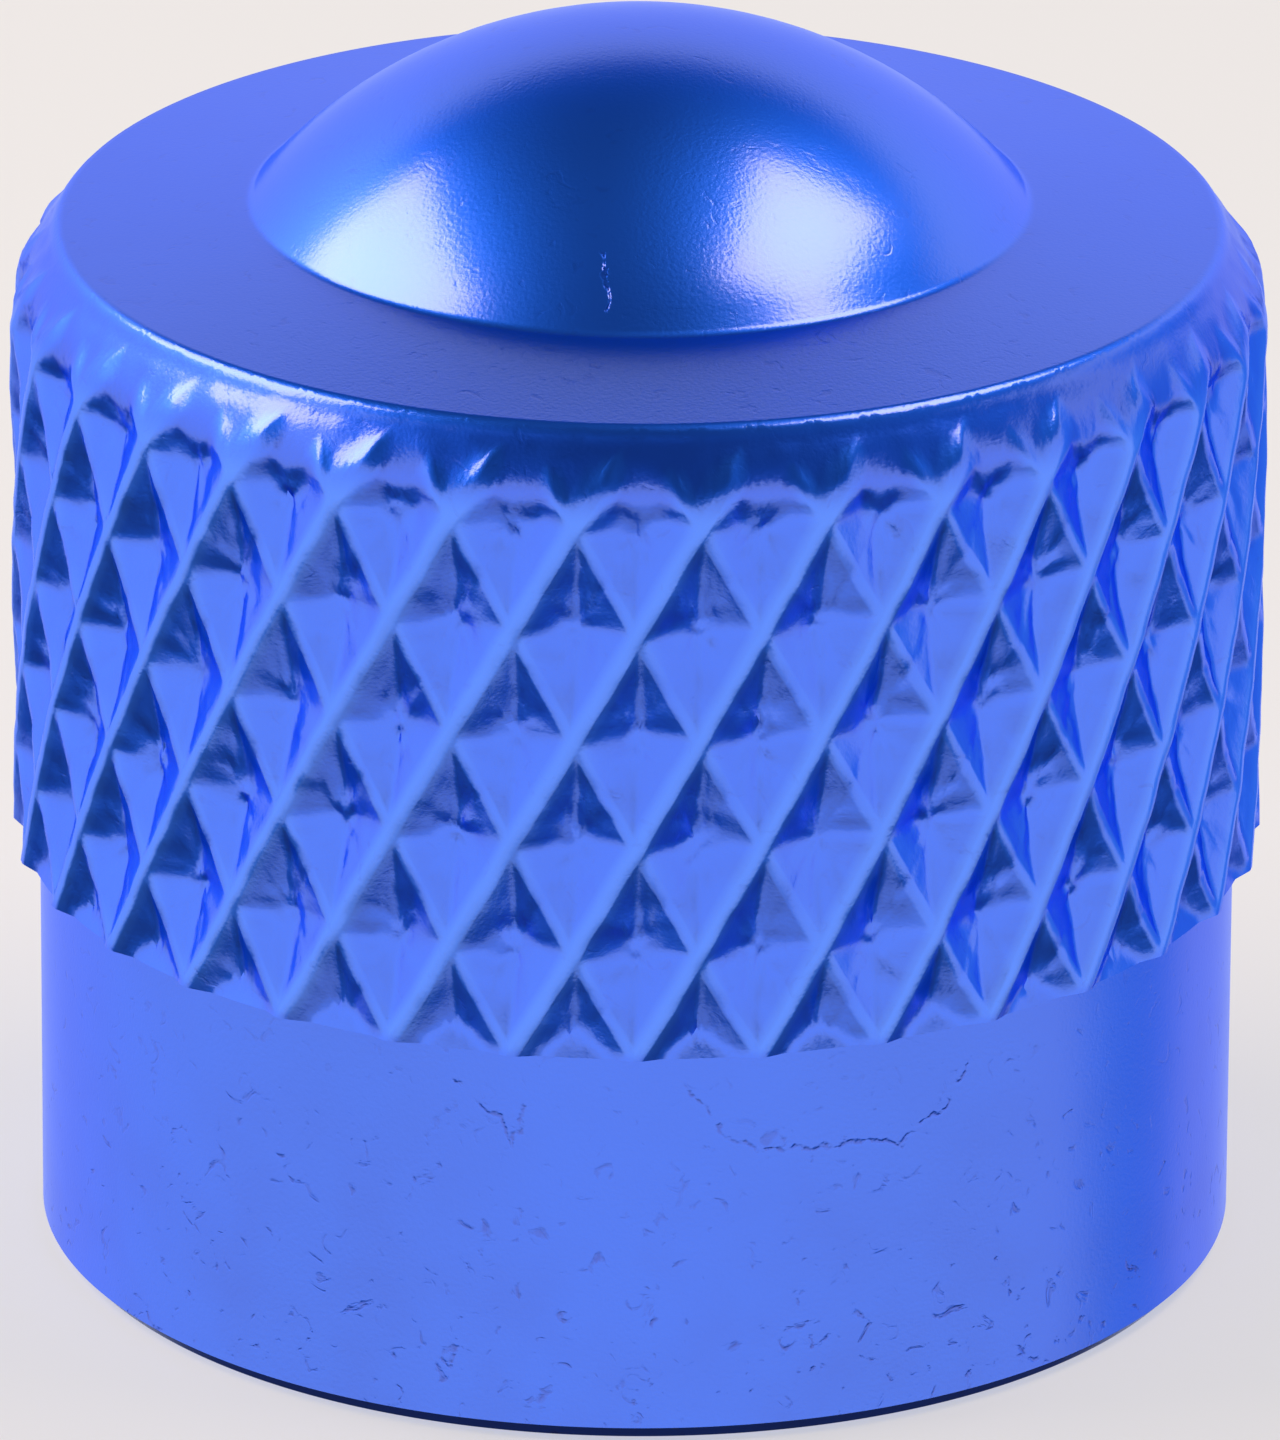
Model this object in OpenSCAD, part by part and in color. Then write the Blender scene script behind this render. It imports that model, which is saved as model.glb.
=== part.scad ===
// Tyre valve cap: a turned aluminium cap with a diamond knurl, and the rubber sealing washer inside it.
// All sizes are in millimetres. The open rim stands on Z = 0 and +Z runs up the axis to the dome.

/* [Outside] */
// Diameter over the ridges of the knurl
knurl_diameter = 12; // [10:0.1:14]
// How far the plain skirt lies inside the ridges of the knurl
skirt_inset = 0.26; // [0.21:0.01:0.5]
// Height of the plain skirt
skirt_length = 3.95; // [2:0.05:5]
// Height of the steep step from the skirt out to the knurl
skirt_step = 0.14; // [0.1:0.02:0.4]
// Height of the outer edge of the ring on top, above the rim
face_height = 10.15; // [9.6:0.05:13]
// How far the outer edge of the ring on top lies inside the ridges of the knurl
face_inset = 0.48; // [0.3:0.02:0.8]
// How much the ring on top rises from its outer edge to the foot of the dome
ring_rise = 0.2; // [0:0.05:0.5]
// Radius of the rounded shoulder, which runs out level with the knurl
shoulder_radius = 1.3; // [0.9:0.05:2]
// Chamfer on the outer edge of the open rim
rim_chamfer = 0.15; // [0.05:0.05:0.5]

/* [Dome] */
// Diameter at which the dome would meet the ring on top
dome_diameter = 7.4; // [6:0.1:9]
// Height of the dome above its foot
dome_height = 1.7; // [0.8:0.05:2.6]
// Radius of the hollow fillet round the foot of the dome
dome_fillet = 0.15; // [0.05:0.05:0.8]

/* [Knurl] */
// Number of ridges that lean each way
knurl_count = 32; // [24:1:40]
// Angle aimed at between the ridges and the axis, in degrees
knurl_angle = 29; // [22:1:38]
// Depth of the pockets between the ridges
knurl_depth = 0.25; // [0.1:0.01:0.28]
// Width of the level top of a ridge
ridge_width = 0.09; // [0.05:0.01:0.2]
// Slope of the pocket walls from the radial direction, in degrees
wall_slope = 45; // [35:1:50]
// How far the top row of ridge crossings lies under the outer edge of the ring on top
knurl_top_gap = 0.87; // [0.7:0.01:1.6]
// Height over which the pockets rise out at each end of the knurl
run_out = 0.3; // [0.15:0.01:0.45]
// How far the pockets of the top row run up past the highest ridge crossings
top_run = 0.45; // [0.2:0.01:0.5]

/* [Thread and washer] */
// Diameter over the crests of the inner thread, which are drawn as a plain bore
bore_diameter = 6.9; // [6:0.1:7.6]
// Length of the thread, from the rim up to the washer's groove
thread_length = 6.5; // [4:0.1:6.6]
// Chamfer that leads a valve stem into the thread
lead_in = 0.5; // [0.2:0.1:0.8]
// How much wider the washer's groove is than the bore
groove_extra = 1.1; // [0.6:0.1:1.8]
// Thickness of the rubber washer
washer_thickness = 1.2; // [0.8:0.1:1.5]
// Diameter of the hole in the washer
washer_hole = 3; // [2:0.1:4]
// Gap between the washer's edge and the groove
washer_clearance = 0.1; // [0.05:0.05:0.25]
// Height of the free space in the groove under the washer
groove_play = 0.2; // [0.1:0.05:0.4]
// Angle of the drill point left at the top of the bore, in degrees
drill_angle = 118; // [90:2:140]

/* [Hidden] */

// Cutters reach this far past the surface that they open
overcut = 0.03;
// Straight steps that stand for a full circle
$fn = 96;
knurl_r = knurl_diameter / 2;
skirt_r = knurl_r - skirt_inset;
face_r = knurl_r - face_inset;
bore_r = bore_diameter / 2;

// The shoulder's arc is level with the knurl at shoulder_z and meets the ring on top at face_r
shoulder_in = shoulder_radius - face_inset;
shoulder_z = face_height - sqrt(pow(shoulder_radius, 2) - pow(shoulder_in, 2));

// The ring on top is a shallow cone, and the dome a cap of a sphere that stands on it
foot_r = dome_diameter / 2;
foot_z = face_height + ring_rise;
ring_slope = atan(ring_rise / (face_r - foot_r));
dome_r = (pow(foot_r, 2) + pow(dome_height, 2)) / (2 * dome_height);
dome_z = foot_z + dome_height - dome_r;

// The fillet's arc touches both the dome and the ring. Its middle lies at fillet_r and fillet_z.
fillet_reach = dome_r + dome_fillet;
fillet_rise = foot_z - dome_z + foot_r * tan(ring_slope) + dome_fillet / cos(ring_slope);
fillet_r = fillet_rise * sin(ring_slope) * cos(ring_slope)
    + cos(ring_slope) * sqrt(pow(fillet_reach, 2) - pow(fillet_rise * cos(ring_slope), 2));
fillet_z = dome_z + fillet_rise - fillet_r * tan(ring_slope);
dome_share = dome_r / fillet_reach;
dome_touch = [fillet_r * dome_share, dome_z + (fillet_z - dome_z) * dome_share];
ring_touch = [fillet_r - dome_fillet * sin(ring_slope), fillet_z - dome_fillet * cos(ring_slope)];

// The ridges cross in level rows: the lowest row at the top of the skirt, the highest under the shoulder
half_pitch = 180 / knurl_count;
half_pitch_arc = PI * knurl_r / knurl_count;
knurl_band = face_height - knurl_top_gap - skirt_length;
row_count = max(3, round(knurl_band * tan(knurl_angle) / half_pitch_arc));
row_step = knurl_band / row_count;
// Distance from the middle of a pocket's cell to the line along each of its four ridges
cell_reach = half_pitch_arc * row_step / norm([half_pitch_arc, row_step]);

// The washer's groove and the washer in it, hard against the groove's upper face
groove_r = bore_r + groove_extra / 2;
groove_top = thread_length + groove_play + washer_thickness;
washer_r = groove_r - washer_clearance;
drill_height = washer_hole / 2 / tan(drill_angle / 2);

// Radius of the outside at a height on the shoulder
function shoulder_at(up) =
    knurl_r - shoulder_radius + sqrt(pow(shoulder_radius, 2) - pow(max(0, up - shoulder_z), 2));

// Share of the cell that a pocket spans at the radius r
function span(r) =
    1 - (ridge_width / 2 + (knurl_r - r) * tan(wall_slope)) / cell_reach;

// Point on the radius r, at a share of the half pitch round and a height up from the cell's middle
function on_cell(r, round_share, up) =
    [r * sin(round_share * half_pitch), -r * cos(round_share * half_pitch), up];

// The four corners of a pocket at the radius r: left, bottom, right, top
function corners(r) = [
    on_cell(r, -span(r), 0),
    on_cell(r, 0, -span(r) * row_step),
    on_cell(r, span(r), 0),
    on_cell(r, 0, span(r) * row_step)
];

// Two points of a pocket's walls, left and right, at the radius r and the height up from the cell's middle
function wall_pair(r, up) =
    let (share = span(r) - abs(up) / row_step)
    [on_cell(r, -share, up), on_cell(r, share, up)];

// A whole pocket: a four-sided pit with sloping walls and a small floor
module pocket() {
    polyhedron(
        points = concat(corners(knurl_r + overcut), corners(knurl_r - knurl_depth)),
        faces = [
            [0, 3, 1], [3, 2, 1],
            [3, 0, 4], [3, 4, 7],
            [2, 3, 7], [2, 7, 6],
            [1, 2, 6], [1, 6, 5],
            [0, 1, 5], [0, 5, 4],
            [4, 5, 7], [7, 5, 6]
        ]
    );
}

// The pocket at the upper end of the knurl: the lower half of a pocket, whose floor rises at its upper end.
// It ends at the height open_up over the cell's middle, where its floor has come up to the radius end_r.
module end_pocket(open_up, end_r) {
    outer_r = knurl_r + overcut;
    floor_r = knurl_r - knurl_depth;
    outer = corners(outer_r);
    floor_low = corners(floor_r)[1];
    floor_pair = wall_pair(floor_r, open_up - run_out);
    end_pair = wall_pair(end_r, open_up);
    open_pair = wall_pair(outer_r, open_up);
    polyhedron(
        points = [
            outer[0], outer[1], outer[2], open_pair[1], open_pair[0],
            floor_low, floor_pair[0], floor_pair[1], end_pair[0], end_pair[1]
        ],
        faces = [
            [0, 4, 1], [4, 3, 1], [3, 2, 1],
            [4, 8, 9], [4, 9, 3],
            [6, 7, 9], [6, 9, 8],
            [5, 7, 6],
            [0, 1, 5], [0, 5, 6], [0, 6, 8], [0, 8, 4],
            [1, 2, 7], [1, 7, 5], [2, 9, 7], [2, 3, 9]
        ]
    );
}

// One row of pockets round the cap. Every other row is turned by half a pitch.
module ring_of_pockets(row) {
    turn = row % 2 == 0 ? half_pitch : 0;
    for (i = [0 : knurl_count - 1])
        translate([0, 0, skirt_length + row * row_step])
            rotate(turn + 2 * half_pitch * i)
                children();
}

// All the pockets of the knurl
module knurl_pockets() {
    ring_of_pockets(0) mirror([0, 0, 1]) end_pocket(overcut, (skirt_r + knurl_r) / 2);
    for (row = [1 : row_count - 1])
        ring_of_pockets(row) pocket();
    ring_of_pockets(row_count) end_pocket(top_run, shoulder_at(face_height - knurl_top_gap + top_run));
}

// Half section of the cap's outside, before knurling
module outside_section() {
    // Skirt, with the rim's chamfer
    polygon([
        [0, 0],
        [skirt_r - rim_chamfer, 0],
        [skirt_r, rim_chamfer],
        [skirt_r, skirt_length],
        [knurl_r, skirt_length + skirt_step],
        [knurl_r, shoulder_z],
        [0, shoulder_z]
    ]);
    // Rounded shoulder
    intersection() {
        translate([knurl_r - shoulder_radius, shoulder_z])
            circle(shoulder_radius);
        translate([0, shoulder_z])
            square([knurl_r, face_height - shoulder_z]);
    }
    polygon([[0, shoulder_z], [face_r, shoulder_z], [face_r, face_height], [foot_r, foot_z], [0, foot_z]]);
    // Dome and the fillet at its foot
    intersection() {
        translate([0, dome_z])
            circle(dome_r);
        translate([0, shoulder_z])
            square([foot_r, foot_z + dome_height - shoulder_z]);
    }
    difference() {
        polygon([[0, shoulder_z], ring_touch, dome_touch]);
        translate([fillet_r, fillet_z])
            circle(dome_fillet);
    }
}

// The hollow of the cap: lead-in, bore, washer groove and drill point
module hollow() {
    translate([0, 0, -overcut])
        cylinder(r = bore_r, h = groove_top + overcut);
    translate([0, 0, -overcut])
        cylinder(r1 = bore_r + lead_in + overcut, r2 = bore_r, h = lead_in + overcut);
    translate([0, 0, thread_length])
        cylinder(r = groove_r, h = groove_top - thread_length);
    translate([0, 0, groove_top])
        cylinder(r1 = washer_hole / 2, r2 = 0, h = drill_height);
}

module cap_body() {
    color("royalblue")
    difference() {
        rotate_extrude()
            outside_section();
        hollow();
        knurl_pockets();
    }
}

module sealing_washer() {
    color("dimgray")
    translate([0, 0, groove_top - washer_thickness])
    difference() {
        cylinder(r = washer_r, h = washer_thickness);
        translate([0, 0, -overcut])
            cylinder(r = washer_hole / 2, h = washer_thickness + 2 * overcut);
    }
}

cap_body();
sealing_washer();
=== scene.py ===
import math

import bmesh
import bpy
from mathutils import Matrix, Quaternion, Vector


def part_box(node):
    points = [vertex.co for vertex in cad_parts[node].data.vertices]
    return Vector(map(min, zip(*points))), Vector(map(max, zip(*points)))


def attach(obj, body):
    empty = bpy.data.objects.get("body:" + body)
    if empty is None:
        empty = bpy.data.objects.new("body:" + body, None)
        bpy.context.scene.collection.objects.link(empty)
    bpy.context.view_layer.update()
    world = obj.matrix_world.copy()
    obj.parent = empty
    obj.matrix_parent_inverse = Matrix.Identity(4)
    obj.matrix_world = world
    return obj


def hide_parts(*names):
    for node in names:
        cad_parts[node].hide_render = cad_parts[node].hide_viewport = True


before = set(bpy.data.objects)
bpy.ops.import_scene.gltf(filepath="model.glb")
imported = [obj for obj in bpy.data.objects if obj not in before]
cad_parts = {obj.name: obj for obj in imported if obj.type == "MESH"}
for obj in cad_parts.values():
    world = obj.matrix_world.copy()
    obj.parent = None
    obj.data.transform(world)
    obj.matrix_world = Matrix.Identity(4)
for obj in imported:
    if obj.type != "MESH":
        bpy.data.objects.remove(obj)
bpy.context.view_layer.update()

# The cap is modelled in millimetres, and each finished piece is brought to metres at the end
MM = 0.001

# Outside of the cap, in millimetres. The open rim stands on Z = 0.
cap_low, cap_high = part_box("cap_body")
KNURL_R = (cap_high[0] - cap_low[0]) / 2 / MM
CAP_TOP = cap_high[2] / MM
SKIRT_INSET = 0.26
SKIRT_LENGTH = 3.95
SKIRT_STEP = 0.05
RIM_CHAMFER = 0.15
FACE_HEIGHT = 10.15
FACE_INSET = 0.48
SHOULDER_RADIUS = 1.3
RING_RISE = 0.2
FOOT_R = 3.7
DOME_FILLET = 0.15
SKIRT_R = KNURL_R - SKIRT_INSET
FACE_R = KNURL_R - FACE_INSET
SHOULDER_Z = FACE_HEIGHT - math.sqrt(SHOULDER_RADIUS**2 - (SHOULDER_RADIUS - FACE_INSET) ** 2)
FOOT_Z = FACE_HEIGHT + RING_RISE
DOME_HEIGHT = CAP_TOP - FOOT_Z
DOME_R = (FOOT_R**2 + DOME_HEIGHT**2) / (2 * DOME_HEIGHT)

# Knurl: ridges that lean both ways and cross in level rows, with pockets between them
RIDGE_COUNT = 32
CROSSING_ROWS = 5
TOP_CROSSING_GAP = 0.87
RIDGE_WIDTH = 0.09
WALL_WIDTH = 0.4
POCKET_DEPTH = 0.22
HALF_PITCH = math.pi * KNURL_R / RIDGE_COUNT
ROW_HEIGHT = (FACE_HEIGHT - TOP_CROSSING_GAP - SKIRT_LENGTH) / CROSSING_ROWS
RIDGE_SPACING = 2 * HALF_PITCH * ROW_HEIGHT / math.hypot(HALF_PITCH, ROW_HEIGHT)

# Thread, washer groove and drill point inside, for a standard car tyre valve
BORE_R = 3.45
THREAD_DEPTH = 0.42
THREAD_PITCH = 0.794
THREAD_LENGTH = 6.5
LEAD_IN = 0.5
GROOVE_R = 4.0
GROOVE_TOP = 7.9
WASHER_HOLE_R = 1.5
DRILL_ANGLE = math.radians(118)

# Photograph: 1280 by 1440 pixels, taken from in front and above
PHOTO_HEIGHT_PX = 1440
FOCAL_PX = 17411
CAMERA_DISTANCE = 167.24
CAMERA_ELEVATION = math.radians(21.8)
CAMERA_ROLL = math.radians(0.315)
AIM = Vector((0.027, 0, 5.027))
SENSOR_MM = 36
LAMP_DISTANCE = 0.12


def paint(hex_code, alpha=1.0):
    """An sRGB hex colour as the linear colour that shaders use."""
    channels = [int(hex_code[i : i + 2], 16) / 255 for i in (1, 3, 5)]
    return tuple(c / 12.92 if c <= 0.04045 else ((c + 0.055) / 1.055) ** 2.4 for c in channels) + (alpha,)


def socket(sockets, key):
    """The socket at this place, or the one in use with this name."""
    return sockets[key] if isinstance(key, int) else next(s for s in sockets if s.name == key and s.enabled)


def add(tree, kind, inputs=(), out=0, **settings):
    """Adds a node, sets it up, sets or links its inputs by name or place, and gives one of its outputs."""
    made = tree.nodes.new(kind)
    for name, value in settings.items():
        setattr(made, name, value)
    for key, value in inputs.items() if isinstance(inputs, dict) else enumerate(inputs):
        if isinstance(value, bpy.types.NodeSocket):
            tree.links.new(value, socket(made.inputs, key))
        elif value is not None:
            socket(made.inputs, key).default_value = value
    return socket(made.outputs, out) if made.outputs else None


def eased(tree, value, start, end):
    """Goes smoothly from 0 to 1 as the value goes from start to end."""
    return add(
        tree,
        "ShaderNodeMapRange",
        {"Value": value, "From Min": start, "From Max": end},
        interpolation_type="SMOOTHSTEP",
    )


def faded(tree, value, span):
    """Goes evenly from 0 to 1 as the value goes from the span's first number to its second."""
    return add(tree, "ShaderNodeMapRange", {"Value": value, "From Min": span[0], "From Max": span[1]})


def new_material(name):
    """An empty node material and its tree, with the output node in it."""
    material = bpy.data.materials.new(name)
    material.use_nodes = True
    material.node_tree.nodes.clear()
    return material, material.node_tree


# Scratches seen in the photo, each a line of points on the cap's surface, in millimetres
SCRATCHES = (
    ((0.51, -5.72, 3.6), (0.81, -5.68, 3.16), (1.17, -5.62, 2.95), (1.83, -5.44, 2.92), (2.49, -5.17, 2.87)),
    ((2.49, -5.17, 2.87), (2.91, -4.95, 3.13), (3.14, -4.81, 3.53)),
    ((-1.68, -5.49, 3.54), (-1.26, -5.6, 3.25), (-1.12, -5.63, 2.94), (-1.06, -5.64, 3.4)),
    ((-0.37, -3.05, 10.96), (-0.26, -3.3, 10.76), (-0.31, -3.52, 10.54)),
)
SCRATCH_HALF_WIDTH = 0.035
# The pits and smudges grow stronger from the first height down to the second
WORN_BELOW = 4.2
MOST_WORN_BELOW = 1.0


def near_line(tree, place, start, end):
    """Distance from the shaded point to a straight line between two points, in metres."""
    start, end = Vector(start) * MM, Vector(end) * MM
    span = end - start
    off = add(tree, "ShaderNodeVectorMath", [place, tuple(start)], operation="SUBTRACT")
    share = add(
        tree,
        "ShaderNodeVectorMath",
        [off, tuple(span / span.length_squared)],
        out="Value",
        operation="DOT_PRODUCT",
    )
    share = add(tree, "ShaderNodeClamp", [share, 0.0, 1.0])
    foot = add(tree, "ShaderNodeVectorMath", {0: tuple(span), "Scale": share}, operation="SCALE")
    return add(tree, "ShaderNodeVectorMath", [off, foot], out="Value", operation="DISTANCE")


def scratch_mask(tree, place):
    """1 in the middle of each scratch, fading to its ragged edges."""
    ragged = add(tree, "ShaderNodeTexNoise", {"Vector": place, "Scale": 5000.0, "Detail": 3.0}, out="Color")
    ragged = add(tree, "ShaderNodeVectorMath", [ragged, (0.5, 0.5, 0.5)], operation="SUBTRACT")
    ragged = add(tree, "ShaderNodeVectorMath", {0: ragged, "Scale": 0.00025}, operation="SCALE")
    place = add(tree, "ShaderNodeVectorMath", [place, ragged], operation="ADD")
    nearest = None
    for scratch in SCRATCHES:
        for start, end in zip(scratch, scratch[1:]):
            gap = near_line(tree, place, start, end)
            nearest = add(tree, "ShaderNodeMath", [nearest, gap], operation="MINIMUM") if nearest else gap
    return eased(tree, nearest, SCRATCH_HALF_WIDTH * MM, 0.0)


def wear(tree, place):
    """Pits, smudges and scratches: how dark each point is stained, and how deep its wear goes."""
    cloud = add(tree, "ShaderNodeTexNoise", {"Vector": place, "Scale": 900.0, "Detail": 3.0})
    cloud = add(tree, "ShaderNodeMapRange", {"Value": cloud, "From Min": 0.4, "From Max": 0.7})
    pits = add(
        tree,
        "ShaderNodeTexNoise",
        {"Vector": place, "Scale": 4200.0, "Detail": 4.0, "Distortion": 1.2},
    )
    pits = add(tree, "ShaderNodeMapRange", {"Value": pits, "From Min": 0.62, "From Max": 0.74})
    # The skirt wears most, low down
    height = add(tree, "ShaderNodeSeparateXYZ", [place], out="Z")
    low = add(
        tree,
        "ShaderNodeMapRange",
        {"Value": height, "From Min": WORN_BELOW * MM, "From Max": MOST_WORN_BELOW * MM, "To Min": 0.22},
    )
    pits = add(tree, "ShaderNodeMath", [pits, low], operation="MULTIPLY")
    smudge = add(tree, "ShaderNodeMath", [cloud, low], operation="MULTIPLY")
    smudge = add(tree, "ShaderNodeMath", [smudge, 0.22], operation="MULTIPLY")
    scratch = scratch_mask(tree, place)
    stain = add(tree, "ShaderNodeMath", [pits, smudge], operation="MAXIMUM")
    line = add(tree, "ShaderNodeMath", [scratch, 0.8], operation="MULTIPLY")
    stain = add(tree, "ShaderNodeMath", [stain, line], operation="MAXIMUM")
    deep = add(tree, "ShaderNodeMath", [pits, scratch], operation="MAXIMUM")
    return stain, deep


def blue_anodised_aluminium():
    """Dyed blue anodic film on turned, bead-blasted aluminium: satin, fine-grained, with ridge tops painted paler
    for wear from rubbing and as painted sheen, and painted shade between the fins.
    """
    material, tree = new_material("blue_anodised_aluminium")
    place = add(tree, "ShaderNodeTexCoord", out="Object")
    # Ridge tops painted paler: wear from rubbing, and painted sheen
    rubbed_and_sheen = add(tree, "ShaderNodeAttribute", out="Fac", attribute_name="rubbed_and_sheen")
    colour = add(
        tree,
        "ShaderNodeMix",
        {"Factor": rubbed_and_sheen, "A": paint("#1769F8"), "B": paint("#3A82FF")},
        out="Result",
        data_type="RGBA",
    )
    # Painted shade: the hollows between the fins are darkened in the colour
    fin_gap_shade = add(tree, "ShaderNodeAttribute", out="Fac", attribute_name="fin_gap_shade")
    fin_gap_shade = add(tree, "ShaderNodeMath", [fin_gap_shade, 0.6], operation="MULTIPLY")
    colour = add(
        tree,
        "ShaderNodeMix",
        {"Factor": fin_gap_shade, "A": colour, "B": paint("#0F4FE0")},
        out="Result",
        data_type="RGBA",
    )
    stain, deep = wear(tree, place)
    colour = add(
        tree,
        "ShaderNodeMix",
        {"Factor": stain, "A": colour, "B": paint("#0E46CC")},
        out="Result",
        data_type="RGBA",
    )
    grain = add(tree, "ShaderNodeTexNoise", {"Vector": place, "Scale": 26000.0, "Detail": 2.0})
    grain = add(tree, "ShaderNodeMath", [grain, 0.35], operation="MULTIPLY")
    relief = add(tree, "ShaderNodeMath", [grain, deep], operation="SUBTRACT")
    bump = add(tree, "ShaderNodeBump", {"Strength": 0.5, "Distance": 0.00001, "Height": relief})
    shader = add(
        tree,
        "ShaderNodeBsdfPrincipled",
        {
            "Base Color": colour,
            "Metallic": 1.0,
            "Roughness": 0.43,
            "Specular Tint": paint("#8CA8FF"),
            "Coat Weight": 0.36,
            "Coat Roughness": 0.16,
            "Coat IOR": 3.0,
            "Normal": bump,
            "Coat Normal": bump,
        },
    )
    add(tree, "ShaderNodeOutputMaterial", {"Surface": shader})
    return material


def seal_rubber():
    """Moulded black nitrile rubber: matt, with a slight grey bloom."""
    material, tree = new_material("seal_rubber")
    place = add(tree, "ShaderNodeTexCoord", out="Object")
    bloom = add(tree, "ShaderNodeTexNoise", {"Vector": place, "Scale": 900.0, "Detail": 4.0})
    colour = add(
        tree,
        "ShaderNodeMix",
        {"Factor": bloom, "A": paint("#141414"), "B": paint("#2A2A2B")},
        out="Result",
        data_type="RGBA",
    )
    bump = add(tree, "ShaderNodeBump", {"Strength": 0.3, "Distance": 0.00002, "Height": bloom})
    shader = add(tree, "ShaderNodeBsdfPrincipled", {"Base Color": colour, "Roughness": 0.7, "Normal": bump})
    add(tree, "ShaderNodeOutputMaterial", {"Surface": shader})
    return material


def pale_paper():
    """Pale satin paper. The camera sees it near white, with the cap's shadow. The metal sees the studio instead."""
    material, tree = new_material("pale_paper")
    shader = add(tree, "ShaderNodeBsdfPrincipled", {"Base Color": paint("#D8D8D8"), "Roughness": 0.9})
    white = add(tree, "ShaderNodeEmission", {"Color": paint("#FFFFFF"), "Strength": 1.0})
    seen = add(tree, "ShaderNodeLightPath", out="Is Camera Ray")
    mirrored = seen.node.outputs["Is Glossy Ray"]
    seen = add(tree, "ShaderNodeMath", [seen, 0.5], operation="MULTIPLY")
    shader = add(tree, "ShaderNodeMixShader", [seen, shader, white])
    clear = add(tree, "ShaderNodeBsdfTransparent")
    below = add(tree, "ShaderNodeNewGeometry", out="Backfacing")
    below = add(tree, "ShaderNodeMath", [below, mirrored], operation="MAXIMUM")
    mixed = add(tree, "ShaderNodeMixShader", [below, shader, clear])
    add(tree, "ShaderNodeOutputMaterial", {"Surface": mixed})
    return material


# How each ridge-aligned cell is divided from its middle out: floor, wall, rounded lip, top of the ridge
CELL_STEPS = 18
CELL_BANDS = (
    # last step, share of the cell's width from the middle
    (2, 0.5 - (RIDGE_WIDTH / 2 + WALL_WIDTH) / RIDGE_SPACING),
    (7, 0.5 - (RIDGE_WIDTH / 2 + 0.025) / RIDGE_SPACING),
    (8, 0.5 - RIDGE_WIDTH / 2 / RIDGE_SPACING),
    (9, 0.5),
)

# Where the ridge tops' paler colour, for wear from rubbing and as painted sheen, and the painted shade between the
# fins come and go, in millimetres
WEAR_AND_SHEEN_DEPTH = 0.3  # share of the pockets' depth
WEAR_AND_SHEEN_END = (9.6, 9.35)
FIN_GAP_SHADE_START = (9.36, 9.52)
FIN_GAP_SHADE_END = (10.12, 10.0)
FIN_FLANK = (0.17, 0.12)
FIN_POINT = (0.06, 0.0)
# Share of the unevenness by which the whole knurl is drawn in, to stay inside its size
DRAWN_IN_SHARE = 0.2

KNURL_INPUTS = {
    "Ridges each way": RIDGE_COUNT,
    "Rows of cells": CROSSING_ROWS + 1,
    "Radius": KNURL_R,
    "Start height": SKIRT_LENGTH,
    "Half pitch": HALF_PITCH,
    "Row height": ROW_HEIGHT,
    "Ridge half width": RIDGE_WIDTH / 2 / RIDGE_SPACING,
    "Wall foot": (RIDGE_WIDTH / 2 + WALL_WIDTH) / RIDGE_SPACING,
    "Pocket depth": POCKET_DEPTH,
    "Wall hollow": 1.2,
    "Back ridge drop": 0.02,
    "Back ridge sag": 0.04,
    "Step height": SKIRT_STEP,
    "Step width": SKIRT_INSET,
    "Shoulder radius": SHOULDER_RADIUS,
    "Shoulder start": SHOULDER_Z,
    "Flat height": FACE_HEIGHT,
    "Top run-out start": 9.1,
    "Top run-out end": 9.8,
    "Top run-out rise": 0.16,
    "Top run-out blend": 0.1,
    "Fin tip": 9.98,
    "Back fin tip": 9.84,
    "Fin taper": 1.0,
    "Fin run-out": 0.34,
    "Fin share": 0.1,
    "Fin height": 0.05,
    "Lip": 0.02,
    "Bottom run-out rise": 0.11,
    "Bottom run-out height": 0.3,
    "Waviness": 0.02,
    "Floor roughness": 0.03,
}


def new_tree(name, values):
    """A geometry node tree with these named inputs, and its input sockets."""
    tree = bpy.data.node_groups.new(name, "GeometryNodeTree")
    tree.interface.new_socket("Geometry", in_out="OUTPUT", socket_type="NodeSocketGeometry")
    for label, value in values.items():
        kind = "NodeSocketInt" if isinstance(value, int) else "NodeSocketFloat"
        tree.interface.new_socket(label, in_out="INPUT", socket_type=kind)
    return tree, tree.nodes.new("NodeGroupInput").outputs


def finish_tree(tree, geometry):
    """Gives the tree its output, and the tree itself."""
    end = tree.nodes.new("NodeGroupOutput")
    tree.links.new(geometry, end.inputs[0])
    return tree


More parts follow.
